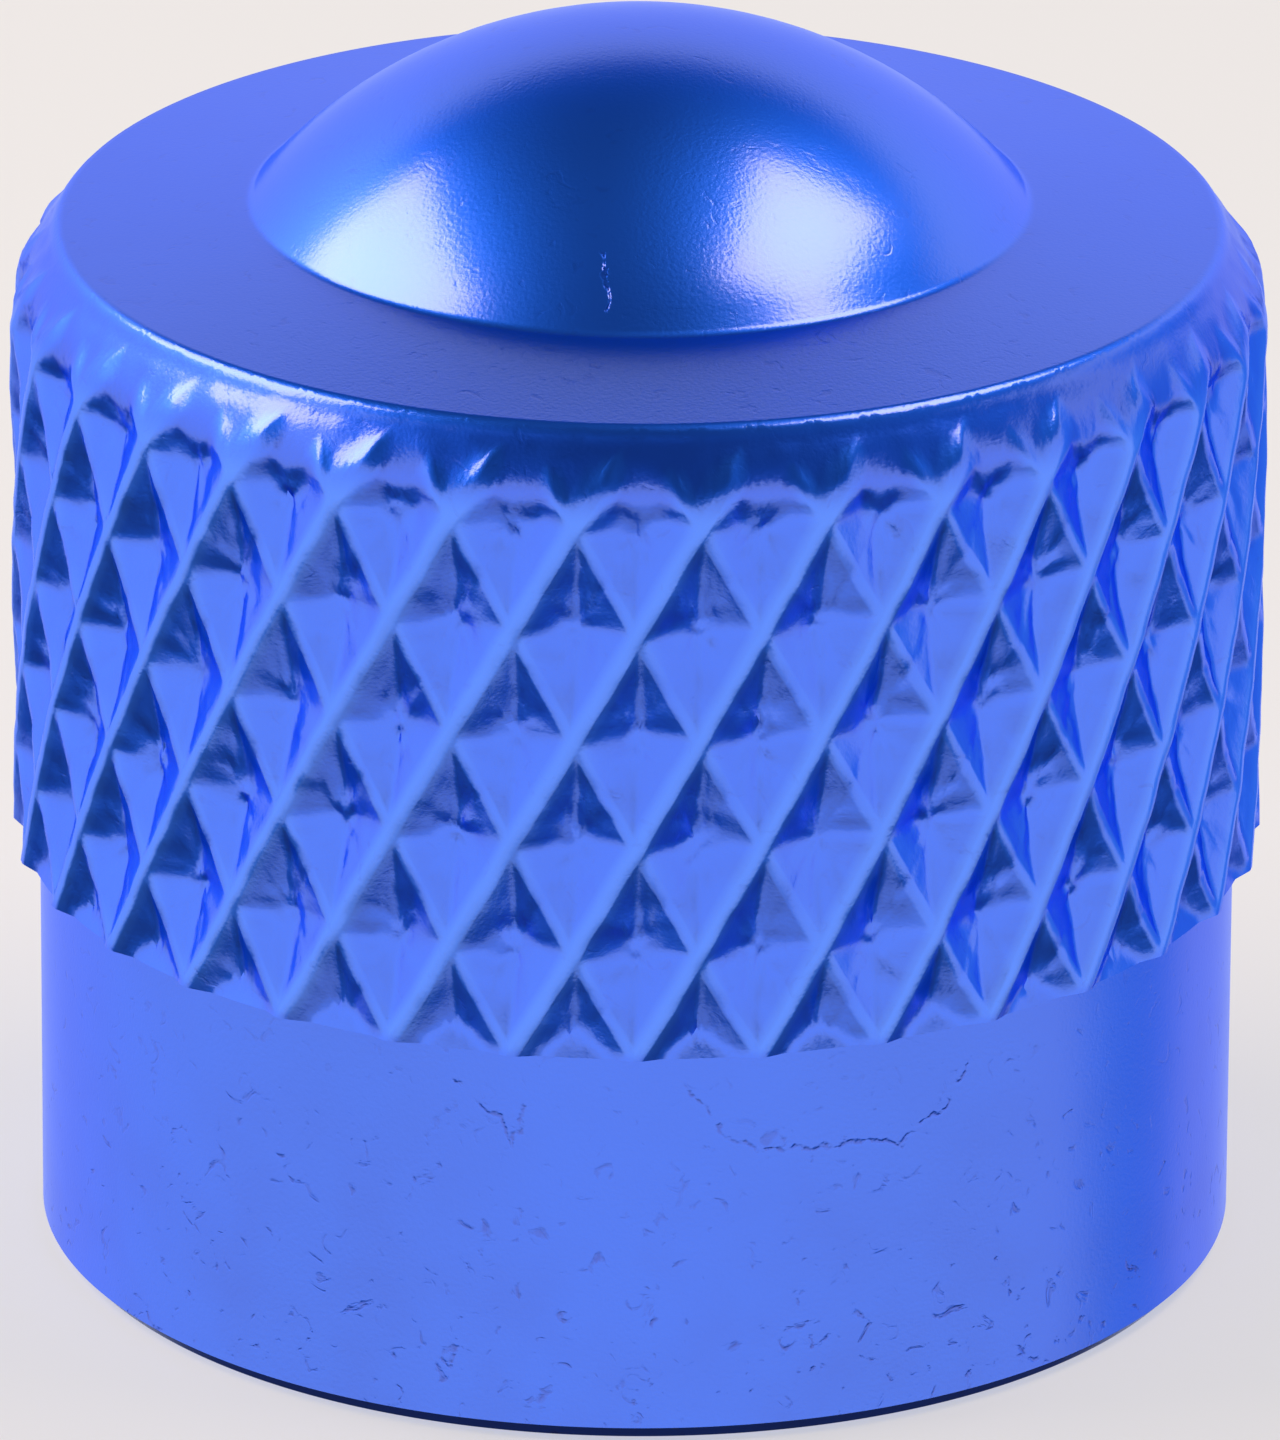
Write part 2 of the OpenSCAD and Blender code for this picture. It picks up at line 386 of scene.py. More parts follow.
def ridge_cell(tree, size):
    """One cell, from the middle of one ridge to the next both ways, with its lines along the ridges."""
    steps = CELL_STEPS
    cell = add(tree, "GeometryNodeMeshGrid", [float(steps), float(steps), steps + 1, steps + 1])
    spot = add(tree, "GeometryNodeInputPosition")
    away = add(tree, "ShaderNodeVectorMath", [spot], operation="ABSOLUTE")
    side = add(tree, "ShaderNodeVectorMath", [spot], operation="SIGN")
    share = None
    last_step, last_share = 0, 0.0
    for step, reach in CELL_BANDS:
        band = add(
            tree,
            "ShaderNodeMapRange",
            {
                "Vector": away,
                "From Min": (last_step,) * 3,
                "From Max": (step,) * 3,
                "To Min": (0.0,) * 3,
                "To Max": (reach - last_share,) * 3,
            },
            out="Vector",
            data_type="FLOAT_VECTOR",
            clamp=True,
        )
        share = add(tree, "ShaderNodeVectorMath", [share, band], operation="ADD") if share else band
        last_step, last_share = step, reach
    share = add(tree, "ShaderNodeVectorMath", [share, side], operation="MULTIPLY")
    along = add(tree, "ShaderNodeSeparateXYZ", [share])
    back = along.node.outputs["Y"]
    total = add(tree, "ShaderNodeMath", [along, back], operation="ADD")
    lift = add(tree, "ShaderNodeMath", [back, along], operation="SUBTRACT")
    flat_x = add(tree, "ShaderNodeMath", [total, size["Half pitch"]], operation="MULTIPLY")
    flat_y = add(tree, "ShaderNodeMath", [lift, size["Row height"]], operation="MULTIPLY")
    flat = add(tree, "ShaderNodeCombineXYZ", [flat_x, flat_y])
    cell = add(tree, "GeometryNodeSetPosition", {"Geometry": cell, "Position": flat})

    # Faces near the upper and lower corners are split upright, the others level, so the corners stay crisp
    middle = add(tree, "GeometryNodeInputPosition")
    across = add(tree, "ShaderNodeSeparateXYZ", [middle])
    up = across.node.outputs["Y"]
    across = add(tree, "ShaderNodeMath", [across, size["Half pitch"]], operation="DIVIDE")
    across = add(tree, "ShaderNodeMath", [across], operation="ABSOLUTE")
    up = add(tree, "ShaderNodeMath", [up, size["Row height"]], operation="DIVIDE")
    up = add(tree, "ShaderNodeMath", [up], operation="ABSOLUTE")
    upright = add(tree, "FunctionNodeCompare", [across, up], operation="LESS_THAN")
    level = add(tree, "FunctionNodeBooleanMath", [upright], operation="NOT")
    cell = add(tree, "GeometryNodeTriangulate", [cell, upright], quad_method="LONGEST_DIAGONAL")
    cell = add(tree, "GeometryNodeTriangulate", [cell, level], quad_method="SHORTEST_DIAGONAL")
    return cell


def sheet_of_cells(tree, size, cell):
    """The cells laid out flat, each row half a pitch further round, and each point's place on the sheet."""
    reach_x = add(tree, "ShaderNodeMath", [size["Ridges each way"], 1.0], operation="SUBTRACT")
    reach_x = add(tree, "ShaderNodeMath", [reach_x, size["Half pitch"]], operation="MULTIPLY")
    full_x = add(tree, "ShaderNodeMath", [reach_x, 2.0], operation="MULTIPLY")
    full_y = add(tree, "ShaderNodeMath", [size["Rows of cells"], size["Row height"]], operation="MULTIPLY")
    row_points = add(tree, "ShaderNodeMath", [size["Rows of cells"], 1.0], operation="ADD")
    points = add(tree, "GeometryNodeMeshGrid", [full_x, full_y, size["Ridges each way"], row_points])
    centre = add(tree, "GeometryNodeInputPosition")
    point_x = add(tree, "ShaderNodeSeparateXYZ", [centre])
    point_y = point_x.node.outputs["Y"]
    half_y = add(tree, "ShaderNodeMath", [full_y, 0.5], operation="MULTIPLY")
    point_y = add(tree, "ShaderNodeMath", [point_y, half_y], operation="ADD")
    row = add(tree, "ShaderNodeMath", [point_y, size["Row height"]], operation="DIVIDE")
    row = add(tree, "ShaderNodeMath", [row, 1.0], operation="ADD")
    shift = add(tree, "ShaderNodeMath", [row, size["Half pitch"]], operation="MULTIPLY")
    point_x = add(tree, "ShaderNodeMath", [point_x, reach_x], operation="ADD")
    point_x = add(tree, "ShaderNodeMath", [point_x, shift], operation="ADD")
    laid = add(tree, "ShaderNodeCombineXYZ", [point_x, point_y])
    points = add(tree, "GeometryNodeSetPosition", {"Geometry": points, "Position": laid})
    cells = add(tree, "GeometryNodeInstanceOnPoints", {"Points": points, "Instance": cell})
    sheet = add(tree, "GeometryNodeRealizeInstances", {"Geometry": cells})

    # The lowest and highest rows keep only their inner halves
    flat_spot = add(tree, "GeometryNodeInputPosition")
    x = add(tree, "ShaderNodeSeparateXYZ", [flat_spot])
    y = x.node.outputs["Y"]
    to_top = add(tree, "ShaderNodeMath", [full_y, y], operation="SUBTRACT")
    inner = add(tree, "ShaderNodeMath", [y, to_top], operation="MULTIPLY")
    kept = add(tree, "FunctionNodeCompare", [inner, 0.0], operation="GREATER_THAN")
    sheet = add(tree, "GeometryNodeSeparateGeometry", {"Geometry": sheet, "Selection": kept}, domain="FACE")
    sheet = add(tree, "GeometryNodeMergeByDistance", {"Geometry": sheet, "Distance": 0.001})
    return sheet, x, y, full_y, to_top


def ridge_walls(tree, size, x, y):
    """How far each point is from the nearest ridges, how high the walls rise there and how deep it lies."""
    in_pitches = add(tree, "ShaderNodeMath", [x, size["Half pitch"]], operation="DIVIDE")
    in_rows = add(tree, "ShaderNodeMath", [y, size["Row height"]], operation="DIVIDE")
    lines = []
    for lean in ("SUBTRACT", "ADD"):
        line = add(tree, "ShaderNodeMath", [in_pitches, in_rows], operation=lean)
        line = add(tree, "ShaderNodeMath", [line, 0.5], operation="MULTIPLY")
        lines.append(add(tree, "ShaderNodeMath", [line, 0.5], operation="PINGPONG"))
    # The ridges that lean left lie a little lower, and sag between the ones that lean right
    sag = add(
        tree,
        "ShaderNodeMapRange",
        {"Value": lines[0], "From Max": 0.5, "To Max": size["Back ridge sag"]},
    )
    sag = add(tree, "ShaderNodeMath", [sag, size["Back ridge drop"]], operation="ADD")
    sinks = [
        add(
            tree,
            "ShaderNodeMapRange",
            {
                "Value": line,
                "From Min": size["Ridge half width"],
                "From Max": size["Wall foot"],
                "To Min": 1.0,
                "To Max": 0.0,
            },
        )
        for line in lines
    ]
    # The walls are steepest at the ridges and hollow out into the floor
    sinks = [add(tree, "ShaderNodeMath", [sink, size["Wall hollow"]], operation="POWER") for sink in sinks]
    back_drop = add(tree, "ShaderNodeMath", [size["Pocket depth"], sag], operation="SUBTRACT")
    drops = [size["Pocket depth"], back_drop]
    rises = [add(tree, "ShaderNodeMath", pair, operation="MULTIPLY") for pair in zip(sinks, drops)]
    rise = add(tree, "ShaderNodeMath", rises, operation="MAXIMUM")
    sink = add(tree, "ShaderNodeMath", [size["Pocket depth"], rise], operation="SUBTRACT")
    return lines, rise, sink


def height_above_rim(tree, size, y, full_y):
    """Height above the rim. The last half row is squeezed to end at the edge of the ring on top."""
    full_rows = add(tree, "ShaderNodeMath", [size["Rows of cells"], 0.5], operation="SUBTRACT")
    squeeze_from = add(tree, "ShaderNodeMath", [full_rows, size["Row height"]], operation="MULTIPLY")
    knurled = add(tree, "ShaderNodeMath", [size["Flat height"], size["Start height"]], operation="SUBTRACT")
    squeezed = add(
        tree,
        "ShaderNodeMapRange",
        {"Value": y, "From Min": squeeze_from, "From Max": full_y, "To Min": squeeze_from, "To Max": knurled},
    )
    climb = add(tree, "ShaderNodeMath", [y, squeezed], operation="MINIMUM")
    return add(tree, "ShaderNodeMath", [climb, size["Start height"]], operation="ADD")


def turned_blank(tree, size, z):
    """Radius of the turned blank, a cylinder and then the rounded shoulder, and how far it is drawn in."""
    above = add(tree, "ShaderNodeMath", [z, size["Shoulder start"]], operation="SUBTRACT")
    above = add(tree, "ShaderNodeMath", [above, 0.0], operation="MAXIMUM")
    above = add(tree, "ShaderNodeMath", [above, 2.0], operation="POWER")
    round_sq = add(tree, "ShaderNodeMath", [size["Shoulder radius"], 2.0], operation="POWER")
    run = add(tree, "ShaderNodeMath", [round_sq, above], operation="SUBTRACT")
    run = add(tree, "ShaderNodeMath", [run], operation="SQRT")
    drawn_in = add(tree, "ShaderNodeMath", [size["Shoulder radius"], run], operation="SUBTRACT")
    blank = add(tree, "ShaderNodeMath", [size["Radius"], drawn_in], operation="SUBTRACT")
    return blank, drawn_in


def pocket_floors(tree, size, z, blank, sink):
    """The pressed surface. Its floors rise to the skirt's step at the bottom and to the shoulder at the top."""
    imprint = add(tree, "ShaderNodeMath", [size["Radius"], sink], operation="SUBTRACT")
    floor = add(tree, "ShaderNodeMath", [size["Radius"], size["Pocket depth"]], operation="SUBTRACT")
    bottom_end = add(
        tree, "ShaderNodeMath", [size["Start height"], size["Bottom run-out height"]], operation="ADD"
    )
    bottom_floor = add(tree, "ShaderNodeMath", [floor, size["Bottom run-out rise"]], operation="ADD")
    low_floor = add(
        tree,
        "ShaderNodeMapRange",
        {
            "Value": z,
            "From Min": size["Start height"],
            "From Max": bottom_end,
            "To Min": bottom_floor,
            "To Max": floor,
        },
    )
    high_end = add(tree, "ShaderNodeMath", [floor, size["Top run-out rise"]], operation="ADD")
    high_floor = add(
        tree,
        "ShaderNodeMapRange",
        {
            "Value": z,
            "From Min": size["Top run-out start"],
            "From Max": size["Top run-out end"],
            "To Min": low_floor,
            "To Max": high_end,
        },
        interpolation_type="SMOOTHSTEP",
    )
    # Between the fins the shoulder lies lower, and comes up to the blank at the ring
    lowered = add(
        tree,
        "ShaderNodeMapRange",
        {
            "Value": z,
            "From Min": size["Fin tip"],
            "From Max": size["Flat height"],
            "To Min": size["Fin height"],
            "To Max": 0.0,
        },
        interpolation_type="SMOOTHSTEP",
    )
    shoulder = add(tree, "ShaderNodeMath", [blank, lowered], operation="SUBTRACT")
    high_floor = add(
        tree, "ShaderNodeMath", [high_floor, shoulder, size["Top run-out blend"]], operation="SMOOTH_MIN"
    )
    pressed = add(tree, "ShaderNodeMath", [imprint, high_floor], operation="MAXIMUM")
    return pressed, shoulder, lowered


def fins(tree, size, lines, z, shoulder, drawn_in, lowered):
    """The ridges' upper ends, which stand a little proud of the blank and end in points along the ridges."""
    ends = []
    for line, tip in zip(lines, (size["Fin tip"], size["Back fin tip"])):
        fall = add(tree, "ShaderNodeMath", [line, size["Fin taper"]], operation="MULTIPLY")
        ends.append(add(tree, "ShaderNodeMath", [tip, fall], operation="SUBTRACT"))
    fin_end = add(tree, "ShaderNodeMath", ends, operation="MAXIMUM")
    fin_run = add(tree, "ShaderNodeMath", [fin_end, z], operation="SUBTRACT")
    in_fin = add(
        tree,
        "ShaderNodeMapRange",
        {"Value": fin_run, "From Min": 0.0, "From Max": size["Fin run-out"]},
        interpolation_type="SMOOTHSTEP",
    )
    proud = add(tree, "ShaderNodeMath", [drawn_in, size["Fin share"]], operation="MULTIPLY")
    proud = add(tree, "ShaderNodeMath", [proud, lowered], operation="ADD")
    proud = add(tree, "ShaderNodeMath", [proud, in_fin], operation="MULTIPLY")
    fin = add(tree, "ShaderNodeMath", [shoulder, proud], operation="ADD")
    return fin, fin_run


def step_to_skirt(tree, size, y, z, radius, half_row):
    """Height with the skirt's step, which leans out, so the lowest points stand as high as they stand out."""
    proud = add(tree, "ShaderNodeMath", [size["Radius"], size["Step width"]], operation="SUBTRACT")
    proud = add(tree, "ShaderNodeMath", [radius, proud], operation="SUBTRACT")
    proud = add(tree, "ShaderNodeMath", [proud, size["Step width"]], operation="DIVIDE")
    raised = add(tree, "ShaderNodeMath", [proud, size["Step height"]], operation="MULTIPLY")
    near = add(
        tree,
        "ShaderNodeMapRange",
        {"Value": y, "From Min": 0.0, "From Max": half_row, "To Min": raised, "To Max": 0.0},
    )
    return add(tree, "ShaderNodeMath", [z, near], operation="ADD")


def ridge_wear_and_sheen(tree, z, sunk, from_end):
    """1 on the ridge tops, which are painted paler up to where the fins run out: wear from rubbing, and painted
    sheen.
    """
    rubbed_and_sheen = add(tree, "ShaderNodeMapRange", {"Value": sunk, "From Min": WEAR_AND_SHEEN_DEPTH, "From Max": 0.0})
    ends = add(tree, "ShaderNodeMapRange", {"Value": from_end, "From Min": 0.02, "From Max": 0.1})
    rubbed_and_sheen = add(tree, "ShaderNodeMath", [rubbed_and_sheen, ends], operation="MULTIPLY")
    below_fins = faded(tree, z, WEAR_AND_SHEEN_END)
    return add(tree, "ShaderNodeMath", [rubbed_and_sheen, below_fins], operation="MULTIPLY")


def painted_fin_gap_shade(tree, z, rise, fin_run):
    """1 in the hollows between the fins, where shade is painted in."""
    above = faded(tree, z, FIN_GAP_SHADE_START)
    hollow = faded(tree, rise, FIN_FLANK)
    past_tip = faded(tree, fin_run, FIN_POINT)
    hollow = add(tree, "ShaderNodeMath", [hollow, past_tip], operation="MAXIMUM")
    fin_gap_shade = add(tree, "ShaderNodeMath", [above, hollow], operation="MULTIPLY")
    below_ring = faded(tree, z, FIN_GAP_SHADE_END)
    return add(tree, "ShaderNodeMath", [fin_gap_shade, below_ring], operation="MULTIPLY")


def knurl_tree(metal):
    """Node tree that lays cells along the ridges, sinks the pockets between them and wraps it all round."""
    tree, size = new_tree("Diamond knurl", KNURL_INPUTS)
    sheet, x, y, full_y, to_top = sheet_of_cells(tree, size, ridge_cell(tree, size))
    lines, rise, sink = ridge_walls(tree, size, x, y)
    z = height_above_rim(tree, size, y, full_y)
    blank, drawn_in = turned_blank(tree, size, z)
    pressed, shoulder, lowered = pocket_floors(tree, size, z, blank, sink)
    fin, fin_run = fins(tree, size, lines, z, shoulder, drawn_in, lowered)
    radius = add(tree, "ShaderNodeMath", [fin, pressed, size["Lip"]], operation="SMOOTH_MIN")
    half_row = add(tree, "ShaderNodeMath", [size["Row height"], 0.5], operation="MULTIPLY")
    z = step_to_skirt(tree, size, y, z, radius, half_row)

    # Unevenness of the rolled ridges and of the pockets' floors, left off at both ends
    turn = add(tree, "ShaderNodeMath", [x, size["Radius"]], operation="DIVIDE")
    sine = add(tree, "ShaderNodeMath", [turn], operation="SINE")
    cosine = add(tree, "ShaderNodeMath", [turn], operation="COSINE")
    round_x = add(tree, "ShaderNodeMath", [sine, size["Radius"]], operation="MULTIPLY")
    round_y = add(tree, "ShaderNodeMath", [cosine, size["Radius"]], operation="MULTIPLY")
    around = add(tree, "ShaderNodeCombineXYZ", [round_x, round_y, z])
    from_end = add(tree, "ShaderNodeMath", [y, to_top], operation="MINIMUM")
    fade = add(tree, "ShaderNodeMapRange", {"Value": from_end, "From Min": 0.0, "From Max": half_row})
    wander = add(tree, "ShaderNodeTexNoise", {"Vector": around, "Scale": 2.2, "Detail": 1.0}, out="Color")
    wander = add(tree, "ShaderNodeVectorMath", [wander, (0.5, 0.5, 0.5)], operation="SUBTRACT")
    sway = add(tree, "ShaderNodeMath", [fade, size["Waviness"]], operation="MULTIPLY")
    sway = add(tree, "ShaderNodeMath", [sway, 2.0], operation="MULTIPLY")
    wander = add(tree, "ShaderNodeVectorMath", {0: wander, "Scale": sway}, operation="SCALE")
    grit = add(tree, "ShaderNodeTexNoise", {"Vector": around, "Scale": 5.0, "Detail": 2.0})
    grit = add(tree, "ShaderNodeMath", [grit, 0.5], operation="SUBTRACT")
    sunk = add(tree, "ShaderNodeMath", [fin, radius], operation="SUBTRACT")
    sunk = add(tree, "ShaderNodeMath", [sunk, size["Pocket depth"]], operation="DIVIDE")
    # Paler ridge tops: wear from rubbing, and painted sheen
    rubbed_and_sheen = ridge_wear_and_sheen(tree, z, sunk, from_end)
    # Painted shade in the hollows between the fins
    fin_gap_shade = painted_fin_gap_shade(tree, z, rise, fin_run)
    deep = add(tree, "ShaderNodeMath", [sunk, fade], operation="MULTIPLY")
    grit = add(tree, "ShaderNodeMath", [grit, deep], operation="MULTIPLY")
    grit = add(tree, "ShaderNodeMath", [grit, size["Floor roughness"]], operation="MULTIPLY")
    grit = add(tree, "ShaderNodeMath", [grit, 4.0], operation="MULTIPLY")
    radius = add(tree, "ShaderNodeMath", [radius, grit], operation="ADD")

    # Wrap round the axis, drawn in by as much as the unevenness could push outward
    slack = add(tree, "ShaderNodeMath", [sway, DRAWN_IN_SHARE], operation="MULTIPLY")
    radius = add(tree, "ShaderNodeMath", [radius, slack], operation="SUBTRACT")
    real_x = add(tree, "ShaderNodeMath", [sine, radius], operation="MULTIPLY")
    real_y = add(tree, "ShaderNodeMath", [cosine, radius], operation="MULTIPLY")
    real_y = add(tree, "ShaderNodeMath", [real_y, -1.0], operation="MULTIPLY")
    wrapped = add(tree, "ShaderNodeCombineXYZ", [real_x, real_y, z])
    wrapped = add(tree, "ShaderNodeVectorMath", [wrapped, wander], operation="ADD")
    # Both go to the material: the paler ridge tops with their painted sheen, and the painted shade between the fins
    for name, value in (("rubbed_and_sheen", rubbed_and_sheen), ("fin_gap_shade", fin_gap_shade)):
        sheet = add(
            tree,
            "GeometryNodeStoreNamedAttribute",
            {"Geometry": sheet, "Name": name, "Value": value},
            data_type="FLOAT",
            domain="POINT",
        )
    sheet = add(tree, "GeometryNodeSetPosition", {"Geometry": sheet, "Position": wrapped})
    sheet = add(tree, "GeometryNodeMergeByDistance", {"Geometry": sheet, "Distance": 0.001})
    sheet = add(tree, "GeometryNodeSetMaterial", {"Geometry": sheet, "Material": metal})
    return finish_tree(tree, sheet)


def grown(name, tree, values):
    """The plain mesh that a node tree makes with these named inputs."""
    carrier = bpy.data.objects.new(name, bpy.data.meshes.new(name))
    bpy.context.scene.collection.objects.link(carrier)
    modifier = carrier.modifiers.new(name, "NODES")
    modifier.node_group = tree
    for item in tree.interface.items_tree:
        if item.in_out == "INPUT":
            modifier[item.identifier] = values[item.name]
    shown = carrier.evaluated_get(bpy.context.evaluated_depsgraph_get())
    mesh = bpy.data.meshes.new_from_object(shown)
    carrier.modifiers.remove(modifier)
    bpy.data.objects.remove(carrier)
    return mesh


# Shares of the pitch, from the middle of a crest, at which the crest ends and the root begins
THREAD_CREST, THREAD_ROOT = 0.1, 0.42
THREAD_COLUMNS = 96
THREAD_STEPS = 8
THREAD_INPUTS = {
    "Columns": THREAD_COLUMNS,
    "Steps in a turn": THREAD_STEPS,
    "Turns": math.ceil(THREAD_LENGTH / THREAD_PITCH) + 1,
    "Pitch": THREAD_PITCH,
    "Depth": THREAD_DEPTH,
    "Bore radius": BORE_R,
    "Length": THREAD_LENGTH,
    "Lead-in": LEAD_IN,
}


def thread_tree(metal):
    """Node tree for the right-handed inner thread: a grid whose rows climb one pitch in each turn."""
    tree, size = new_tree("Inner thread", THREAD_INPUTS)
    across = add(tree, "ShaderNodeMath", [size["Columns"], 1.0], operation="ADD")
    rows = add(tree, "ShaderNodeMath", [size["Turns"], size["Steps in a turn"]], operation="MULTIPLY")
    rows = add(tree, "ShaderNodeMath", [rows, 1.0], operation="ADD")
    wall = add(tree, "GeometryNodeMeshGrid", [1.0, 1.0, across, rows])
    spot = add(tree, "GeometryNodeInputPosition")
    spot = add(tree, "ShaderNodeVectorMath", [spot, (0.5, 0.5, 0)], operation="ADD")
    turn = add(tree, "ShaderNodeSeparateXYZ", [spot])
    level = turn.node.outputs["Y"]
    climb = add(tree, "ShaderNodeMath", [level, size["Turns"]], operation="MULTIPLY")
    climb = add(tree, "ShaderNodeMath", [climb, turn], operation="ADD")
    climb = add(tree, "ShaderNodeMath", [climb, 1.0], operation="SUBTRACT")
    z = add(tree, "ShaderNodeMath", [climb, size["Pitch"]], operation="MULTIPLY")
    z = add(tree, "ShaderNodeMath", [z, 0.0], operation="MAXIMUM")
    z = add(tree, "ShaderNodeMath", [z, size["Length"]], operation="MINIMUM")

    # Sharp-sided thread with flat crests and roots, cut back by the lead-in chamfer
    phase = add(tree, "ShaderNodeMath", [z, size["Pitch"]], operation="DIVIDE")
    phase = add(tree, "ShaderNodeMath", [phase, turn], operation="SUBTRACT")
    phase = add(tree, "ShaderNodeMath", [phase, 0.5], operation="PINGPONG")
    cut = add(
        tree,
        "ShaderNodeMapRange",
        {"Value": phase, "From Min": THREAD_CREST, "From Max": THREAD_ROOT, "To Max": size["Depth"]},
    )
    radius = add(tree, "ShaderNodeMath", [cut, size["Bore radius"]], operation="ADD")
    mouth = add(tree, "ShaderNodeMath", [size["Bore radius"], size["Lead-in"]], operation="ADD")
    mouth = add(tree, "ShaderNodeMath", [mouth, z], operation="SUBTRACT")
    radius = add(tree, "ShaderNodeMath", [radius, mouth], operation="MAXIMUM")
    angle = add(tree, "ShaderNodeMath", [turn, math.tau], operation="MULTIPLY")
    sine = add(tree, "ShaderNodeMath", [angle], operation="SINE")
    cosine = add(tree, "ShaderNodeMath", [angle], operation="COSINE")
    x = add(tree, "ShaderNodeMath", [cosine, radius], operation="MULTIPLY")
    y = add(tree, "ShaderNodeMath", [sine, radius], operation="MULTIPLY")
    wrapped = add(tree, "ShaderNodeCombineXYZ", [x, y, z])
    wall = add(tree, "GeometryNodeSetPosition", {"Geometry": wall, "Position": wrapped})
    wall = add(tree, "GeometryNodeMergeByDistance", {"Geometry": wall, "Distance": 0.001})
    wall = add(tree, "GeometryNodeSetMaterial", {"Geometry": wall, "Material": metal})
    return finish_tree(tree, wall)


def arc(centre_r, centre_z, radius, start, end, steps):
    """Points of an arc in the half section, angles in radians above the outward level direction."""
    angles = [start + (end - start) * i / steps for i in range(steps + 1)]
    return [(centre_r + radius * math.cos(a), centre_z + radius * math.sin(a)) for a in angles]


def top_section():
    """Half section from the ring's outer edge in to the middle of the dome."""
    slope = math.atan2(RING_RISE, FACE_R - FOOT_R)
    dome_z = CAP_TOP - DOME_R
    reach = DOME_R + DOME_FILLET
    rise = FOOT_Z - dome_z + FOOT_R * math.tan(slope) + DOME_FILLET / math.cos(slope)
    across = math.cos(slope) * math.sqrt(reach**2 - (rise * math.cos(slope)) ** 2)
    fillet_r = rise * math.sin(slope) * math.cos(slope) + across
    fillet_z = dome_z + rise - fillet_r * math.tan(slope)
    lean = math.atan2(fillet_z - dome_z, fillet_r)
    fillet = arc(fillet_r, fillet_z, DOME_FILLET, -math.pi / 2 - slope, lean - math.pi, 6)
    inner_r, inner_z = fillet[0]
    ring = []
    for share in (0.03, 0.1, 0.25, 0.5, 0.75, 0.92):
        ring.append((FACE_R + (inner_r - FACE_R) * share, FACE_HEIGHT + (inner_z - FACE_HEIGHT) * share))
    dome = arc(0, dome_z, DOME_R, lean, math.pi / 2, 22)[1:-1]
    return ring + fillet + dome


def boundary_loop(mesh, height):
    """The open edges whose ends lie about this high."""
    return [e for e in mesh.edges if e.is_boundary and all(abs(v.co.z - height) < 0.2 for v in e.verts)]


def turn_on(mesh, loop, section, pole=None):
    """Carries an open round edge on through a half section's radii and heights, to a closed point if given."""
    for radius, height in section:
        new = bmesh.ops.extrude_edge_only(mesh, edges=loop)["geom"]
        loop = [g for g in new if isinstance(g, bmesh.types.BMEdge)]
        for vert in (g for g in new if isinstance(g, bmesh.types.BMVert)):
            out = vert.co.xy.normalized() * radius
            vert.co = (out.x, out.y, height)
    if pole is not None:
        new = bmesh.ops.extrude_edge_only(mesh, edges=loop)["geom"]
        tips = [g for g in new if isinstance(g, bmesh.types.BMVert)]
        bmesh.ops.pointmerge(mesh, verts=tips, merge_co=(0, 0, pole))
        loop = []
    return loop


def to_piece(name, mesh, node, material):
    """A finished piece in metres, which rides on the part and stands for its CAD node."""
    data = bpy.data.meshes.new(name)
    mesh.to_mesh(data)
    mesh.free()
    data.transform(Matrix.Scale(MM, 4))
    data.materials.clear()
    data.materials.append(material)
    data.shade_smooth()
    data.set_sharp_from_angle(angle=math.radians(42))
    piece = bpy.data.objects.new(name, data)
    bpy.context.scene.collection.objects.link(piece)
    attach(piece, "root")
    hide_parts(node)
    return piece


def cap(metal):
    """The whole cap as one closed skin: knurl, shoulder, ring, dome, skirt, rim, thread and drill point."""
    mesh = bmesh.new()
    mesh.from_mesh(grown("knurl", knurl_tree(metal), KNURL_INPUTS))
    turn_on(mesh, boundary_loop(mesh, FACE_HEIGHT), top_section(), pole=CAP_TOP)
    skirt = [
        (SKIRT_R, SKIRT_LENGTH),
        (SKIRT_R, SKIRT_LENGTH - 0.1),
        (SKIRT_R, 3.0),
        (SKIRT_R, 2.0),
        (SKIRT_R, 1.0),
        (SKIRT_R, RIM_CHAMFER + 0.1),
        (SKIRT_R, RIM_CHAMFER),
        (SKIRT_R - RIM_CHAMFER, 0),
    ]
    rim = turn_on(mesh, boundary_loop(mesh, SKIRT_LENGTH), skirt)
    mesh.from_mesh(grown("thread", thread_tree(metal), THREAD_INPUTS))
    groove = [(GROOVE_R, THREAD_LENGTH), (GROOVE_R, GROOVE_TOP), (WASHER_HOLE_R, GROOVE_TOP)]
    drill_top = GROOVE_TOP + WASHER_HOLE_R / math.tan(DRILL_ANGLE / 2)
    turn_on(mesh, boundary_loop(mesh, THREAD_LENGTH), groove, pole=drill_top)
    open_edges = [e for e in mesh.edges if e.is_boundary]
    bmesh.ops.triangle_fill(mesh, edges=open_edges, use_beauty=True)
    bmesh.ops.recalc_face_normals(mesh, faces=mesh.faces)
    return to_piece("cap_shell", mesh, "cap_body", metal)


